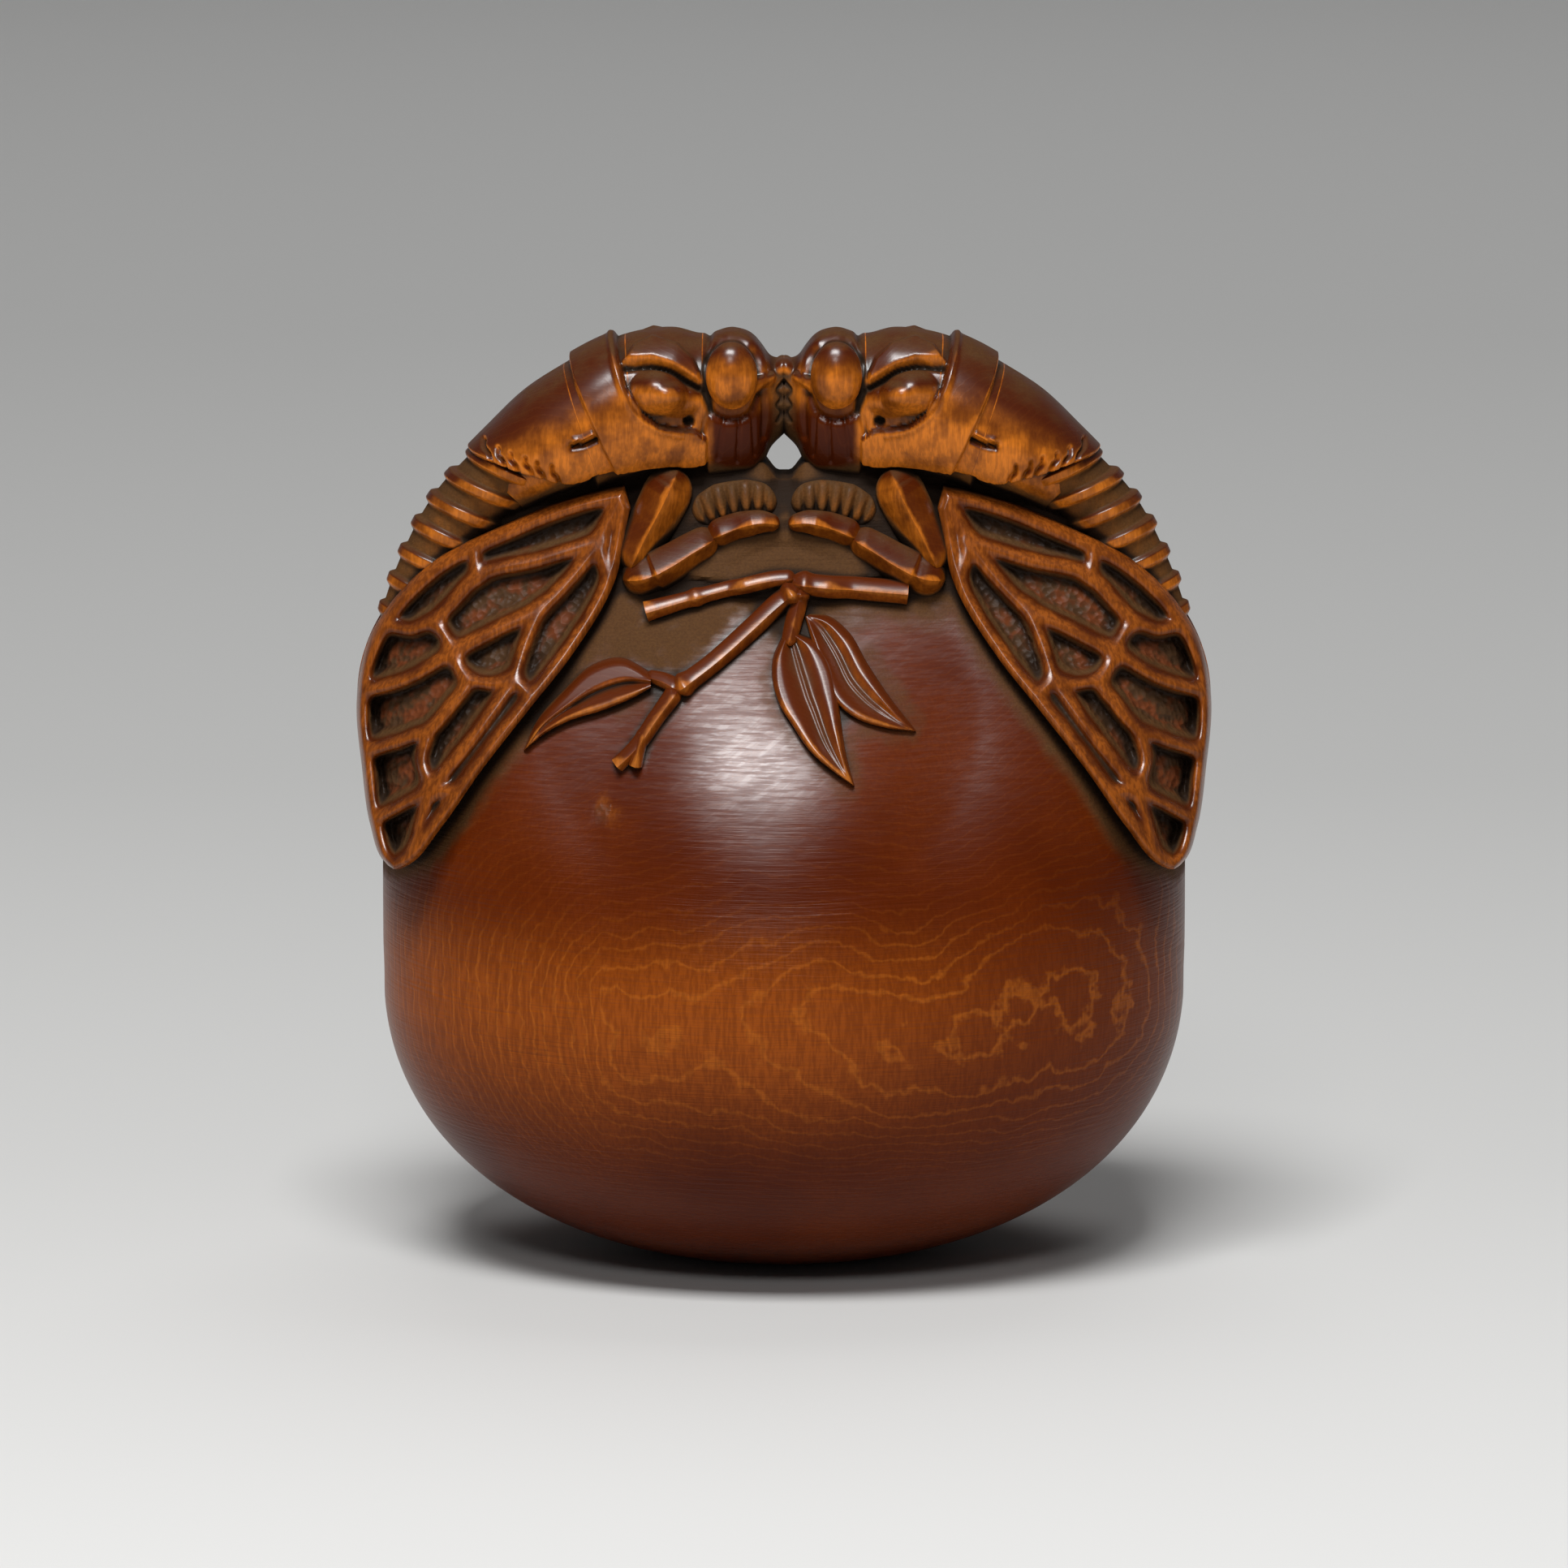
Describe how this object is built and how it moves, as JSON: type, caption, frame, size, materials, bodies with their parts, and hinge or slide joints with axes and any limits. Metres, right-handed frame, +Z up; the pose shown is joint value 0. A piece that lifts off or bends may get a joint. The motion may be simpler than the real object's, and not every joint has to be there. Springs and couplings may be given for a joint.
{
  "type": "wooden fish drum",
  "caption": "Hand-sized carved wooden fish drum: a hollow slit belly under cicadas that meet head to head as a pierced handle, with a leafy twig across its front.",
  "frame": {"origin": "middle of the flat foot, on the surface that the drum stands on", "axes": "+Z up from the foot to the insects' backs, -Y to the front with the twig, +X to the right seen from the front"},
  "size_m": [0.0434, 0.0324, 0.0477],
  "materials": {
    "body_wood": "waxed satin boxwood with growth rings",
    "insect_wood": "hand-rubbed boxwood, worn golden on raised edges",
    "wing_wood": "worn golden veins over stippled dark cells",
    "sprig_wood": "hand-rubbed boxwood with dusty edges"
  },
  "bodies": {
    "root": {"front_leaf": "sprig_wood", "front_leaf_stalk": "sprig_wood", "left_abdomen": "insect_wood", "left_back_eye": "insect_wood", "left_back_femur": "insect_wood", "left_back_foot": "insect_wood", "left_back_tibia": "insect_wood", "left_back_wing": "wing_wood", "left_collar": "insect_wood", "left_front_eye": "insect_wood", "left_front_femur": "insect_wood", "left_front_foot": "insect_wood", "left_front_tibia": "insect_wood", "left_front_wing": "wing_wood", "left_head": "insect_wood", "left_leaf": "sprig_wood", "left_leaf_stalk": "sprig_wood", "left_mesonotum": "insect_wood", "left_pronotum": "insect_wood", "left_twig": "sprig_wood", "lower_twig": "sprig_wood", "main_twig": "sprig_wood", "rear_leaf": "sprig_wood", "right_abdomen": "insect_wood", "right_back_eye": "insect_wood", "right_back_femur": "insect_wood", "right_back_foot": "insect_wood", "right_back_tibia": "insect_wood", "right_back_wing": "wing_wood", "right_collar": "insect_wood", "right_front_eye": "insect_wood", "right_front_femur": "insect_wood", "right_front_foot": "insect_wood", "right_front_tibia": "insect_wood", "right_front_wing": "wing_wood", "right_head": "insect_wood", "right_mesonotum": "insect_wood", "right_pronotum": "insect_wood", "right_twig": "sprig_wood", "sound_body": "body_wood"}
  },
  "joints": []
}
